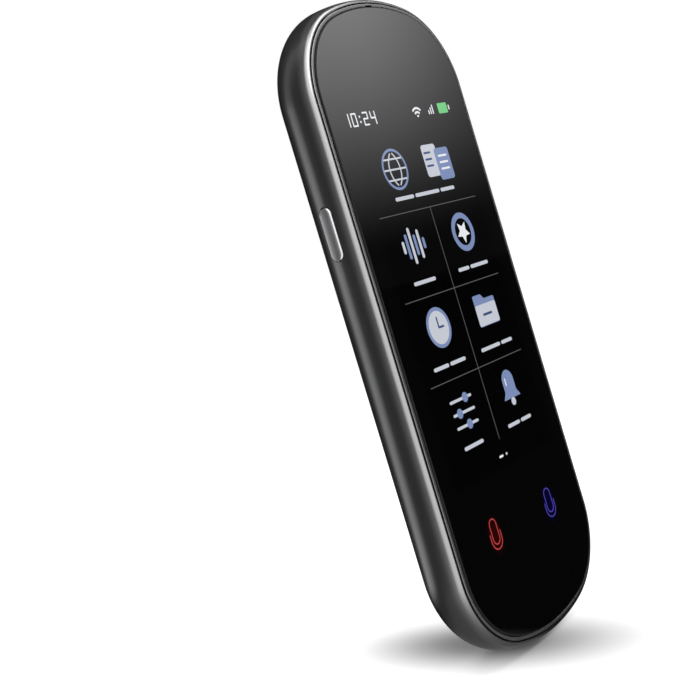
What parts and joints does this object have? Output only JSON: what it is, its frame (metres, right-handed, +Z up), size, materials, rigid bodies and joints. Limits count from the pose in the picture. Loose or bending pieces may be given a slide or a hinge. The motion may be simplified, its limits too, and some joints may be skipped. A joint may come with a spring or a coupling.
{
  "type": "handheld voice translator",
  "caption": "Slim slab with crowned ends, full glass touch front, raised flat back with camera and curved speaker grille, side key and USB-C port.",
  "frame": {"origin": "centre of the flat back face", "axes": "+Z up along the length, -Y out of the screen, +Y out of the flat back, +X to the right as seen by the user facing the screen"},
  "size_m": [0.0514, 0.0138, 0.1274],
  "materials": {
    "shell": "satin dark grey paint on moulded plastic",
    "bezel": "satin dark grey",
    "cover_glass": "polished, printed black behind",
    "display": "smooth, dark when off",
    "camera_ring": "polished dark metal",
    "lens_glass": "coated, blue purple sheen",
    "key_metal": "satin with a bright cut edge",
    "port_steel": "drawn steel",
    "port_plastic": "moulded black",
    "gold_contact": "gold plated",
    "steel": "stamped sheet",
    "circuit_board": "green solder mask",
    "chip": "moulded black resin",
    "flex": "amber polyimide film",
    "socket_plastic": "moulded cream",
    "battery_foil": "satin foil pouch",
    "lead_insulation": "smooth",
    "black_tape": "matte",
    "soft_rubber": "matte",
    "foam": "open cell",
    "diaphragm": "formed film",
    "mesh": "fine woven",
    "led": "moulded",
    "light_guide": "clear, polished"
  },
  "bodies": {
    "handset": {"rear_shell": "shell", "front_frame": "bezel", "cover_glass": "cover_glass", "glass_adhesive": "black_tape", "display_panel": "display", "display_flex": "flex", "steel_plate": "steel", "touch_key_flex": "flex", "touch_key_leds": "led", "touch_key_light_guides": "light_guide", "main_board": "circuit_board", "flex_sockets": "socket_plastic", "shield_can": "steel", "processor": "chip", "memory_chip": "chip", "power_chip": "chip", "top_microphone": "steel", "top_microphone_boot": "soft_rubber", "bottom_board": "circuit_board", "bottom_flex": "flex", "bottom_microphone": "steel", "bottom_microphone_boot": "soft_rubber", "usb_shell": "port_steel", "usb_tongue": "port_plastic", "usb_contacts": "gold_contact", "battery_cell": "battery_foil", "battery_board": "circuit_board", "battery_leads": "lead_insulation", "battery_tape": "black_tape", "battery_pad": "foam", "speaker_frame": "port_plastic", "speaker_diaphragm": "diaphragm", "speaker_magnet": "steel", "speaker_gasket": "foam", "speaker_mesh": "mesh", "speaker_springs": "gold_contact", "camera_bezel": "camera_ring", "camera_window": "lens_glass", "camera_housing": "port_plastic", "camera_sensor": "circuit_board", "camera_flex": "flex", "camera_foam": "foam", "key_switch": "steel", "key_bracket": "steel", "key_flex": "flex", "antenna_flex": "flex", "board_screws": "steel", "plate_screws": "steel"},
    "side_key": {"power_key": "key_metal", "switch_plunger": "socket_plastic"},
    "focus_carrier": {"lens_barrel": "port_plastic", "camera_lens": "lens_glass"}
  },
  "joints": [
    {"name": "power_key_press", "type": "slide", "parent": "handset", "child": "side_key", "axis": [1, 0, 0], "range_m": [0, 0.00025], "stiffness_N_per_m": 1500, "springref_m": -0.0003},
    {"name": "lens_focus", "type": "slide", "parent": "handset", "child": "focus_carrier", "axis": [0, 1, 0], "range_m": [0, 0.00025], "stiffness_N_per_m": 60, "springref_m": -0.0001}
  ]
}
